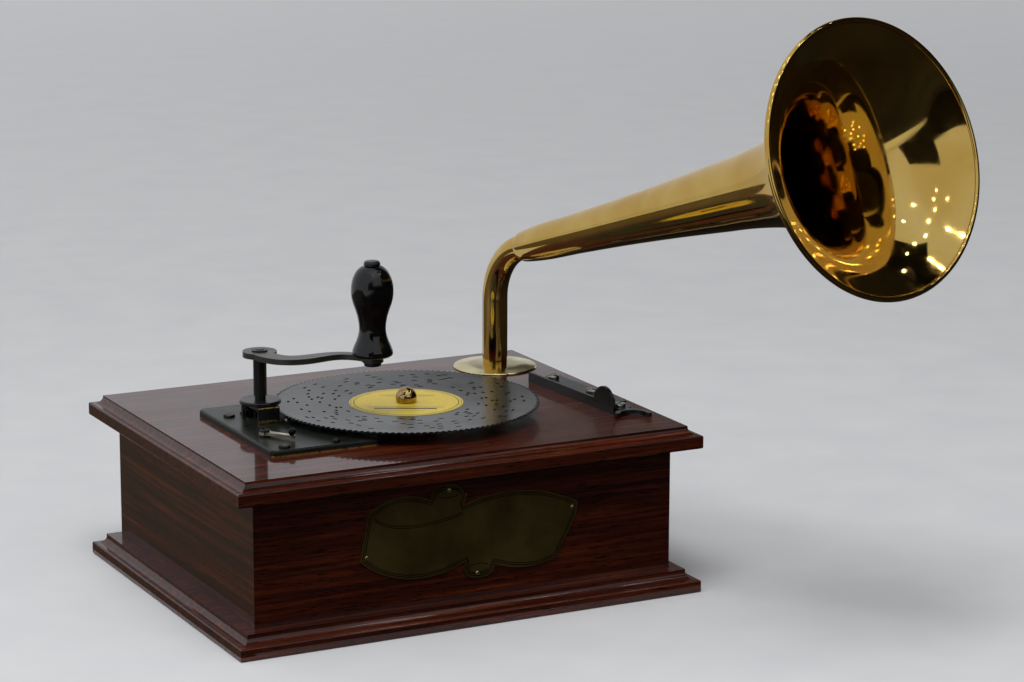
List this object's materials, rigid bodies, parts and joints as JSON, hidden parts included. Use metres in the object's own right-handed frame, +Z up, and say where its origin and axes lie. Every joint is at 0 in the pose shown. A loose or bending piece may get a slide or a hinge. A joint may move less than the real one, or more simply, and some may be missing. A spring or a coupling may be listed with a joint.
{
  "type": "gramophone",
  "caption": "Tabletop hand-cranked disc musical box in gramophone form: moulded wooden case, toothed punched disc, crank with turned grip, swivelling brass horn.",
  "frame": {"origin": "centre of the case footprint, on the surface that the case stands on", "axes": "+X to the right along the case front, +Y to the back, +Z up; the crank is on the left and the horn on the right"},
  "size_m": [0.2884, 0.2913, 0.2565],
  "materials": {
    "mahogany": "dark red-brown mahogany under clear gloss lacquer",
    "softwood": "bare sawn softwood",
    "olive_gold_plate": "etched thin brass sheet, dulled olive gold",
    "lacquered_iron": "grey-green lacquered casting, semi-gloss",
    "black_lacquered_steel": "black lacquered steel, satin",
    "dark_disc_steel": "rolled grey steel sheet, semi-gloss",
    "label_paper": "yellow printed paper with a dark border, no text",
    "polished_brass": "polished lacquered brass",
    "pale_brass": "pale satin brass",
    "knob_nickel": "turned brass, worn nickel plating",
    "bright_steel": "bright ground steel",
    "blackened_ball": "blackened steel",
    "gloss_black_grip": "turned wood, gloss black lacquer"
  },
  "bodies": {
    "case": {"top_board": "mahogany", "base_board": "mahogany", "front_panel": "mahogany", "back_panel": "mahogany", "left_panel": "mahogany", "right_panel": "mahogany", "corner_blocks": "softwood", "case_screws": "bright_steel", "front_plate": "olive_gold_plate", "plate_pins": "pale_brass", "bedplate": "lacquered_iron", "bedplate_screws": "bright_steel", "spindle": "bright_steel", "shaft_bush": "pale_brass", "bearing_bridge": "black_lacquered_steel", "star_arbor": "bright_steel", "gantry": "bright_steel", "gantry_rivets": "bright_steel", "comb": "bright_steel", "comb_bolster": "bright_steel", "comb_screws": "bright_steel", "catch_post": "bright_steel", "angle_bracket": "black_lacquered_steel", "bracket_screws": "bright_steel", "lever_pivot": "bright_steel", "lever_washer": "bright_steel", "horn_socket": "pale_brass", "horn_flange": "pale_brass"},
    "crank": {"crank_shaft": "black_lacquered_steel", "shaft_clip": "bright_steel", "drive_pinion": "bright_steel", "crank_collar": "black_lacquered_steel", "crank_sleeve": "black_lacquered_steel", "crank_arm": "black_lacquered_steel", "crank_cap": "black_lacquered_steel", "handle_axle": "bright_steel", "handle_nut": "black_lacquered_steel", "handle_cap": "black_lacquered_steel"},
    "grip": {"handle_grip": "gloss_black_grip"},
    "disc": {"disc": "dark_disc_steel", "disc_label": "label_paper"},
    "knob": {"disc_knob": "knob_nickel"},
    "star_wheels": {"star_wheels": "bright_steel"},
    "catch_lever": {"catch_lever": "bright_steel", "catch_ball": "blackened_ball"},
    "finger_lever": {"finger_lever": "black_lacquered_steel"},
    "horn": {"horn_elbow": "polished_brass", "horn_neck": "polished_brass", "horn_bell": "polished_brass"}
  },
  "joints": [
    {"name": "crank_spin", "type": "hinge", "parent": "case", "child": "crank", "pos_m": [-0.05957, 0.003, 0.08], "axis": [0, 0, 1], "continuous": true},
    {"name": "grip_spin", "type": "hinge", "parent": "crank", "child": "grip", "pos_m": [-0.0208, -0.0277, 0.12], "axis": [0, 0, 1], "continuous": true},
    {"name": "disc_spin", "type": "hinge", "parent": "case", "child": "disc", "pos_m": [0.0035, -0.0093, 0.079], "axis": [0, 0, 1], "continuous": true},
    {"name": "knob_lift", "type": "slide", "parent": "case", "child": "knob", "axis": [0, 0, 1], "range_m": [0, 0.008]},
    {"name": "star_spin", "type": "hinge", "parent": "case", "child": "star_wheels", "pos_m": [-0.0367, -0.0093, 0.0741], "axis": [1, 0, 0], "continuous": true},
    {"name": "catch_swing", "type": "hinge", "parent": "case", "child": "catch_lever", "pos_m": [-0.0702, -0.0271, 0.0775], "axis": [0, 0, 1], "range_deg": [-25, 35]},
    {"name": "lever_swing", "type": "hinge", "parent": "case", "child": "finger_lever", "pos_m": [0.0895, -0.0443, 0.0745], "axis": [0, 0, 1], "range_deg": [-5, 25]},
    {"name": "horn_swivel", "type": "hinge", "parent": "case", "child": "horn", "pos_m": [0.0794, 0.0553, 0.1], "axis": [0, 0, 1], "range_deg": [-45, 90]}
  ],
  "couplings": [
    {"joint": "disc_spin", "follows": "crank_spin", "ratio": -0.125}
  ]
}
